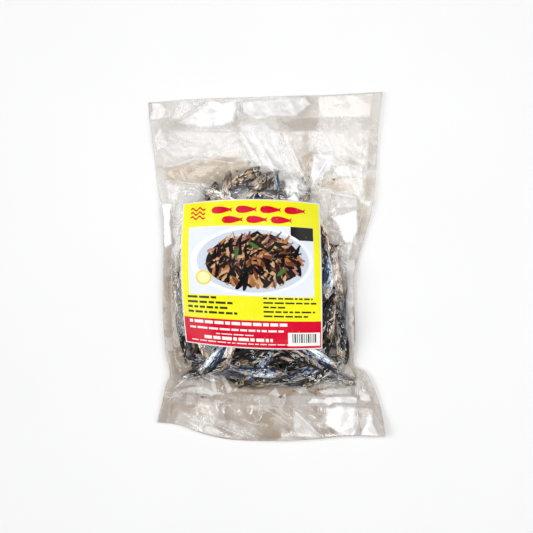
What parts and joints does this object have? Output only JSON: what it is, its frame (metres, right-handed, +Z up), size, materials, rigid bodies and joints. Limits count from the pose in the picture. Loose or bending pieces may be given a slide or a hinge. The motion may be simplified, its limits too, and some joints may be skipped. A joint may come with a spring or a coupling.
{
  "type": "clear sealed bag of dried anchovies",
  "caption": "Clear heat-sealed bag of whole dried anchovies with a paper label on its front, lying flat on its back.",
  "frame": {"origin": "middle of the bag's footprint on the table", "axes": "+X to the right of the labelled face, +Y to the bag's top edge, +Z up, out of the labelled face"},
  "size_m": [0.204, 0.3, 0.0261],
  "materials": {
    "film": "clear, glossy and creased",
    "label": "glossy coated print",
    "fish": "dry skin, silvery on the sides"
  },
  "bodies": {
    "root": {"bag": "film", "label": "label"}
  },
  "joints": []
}
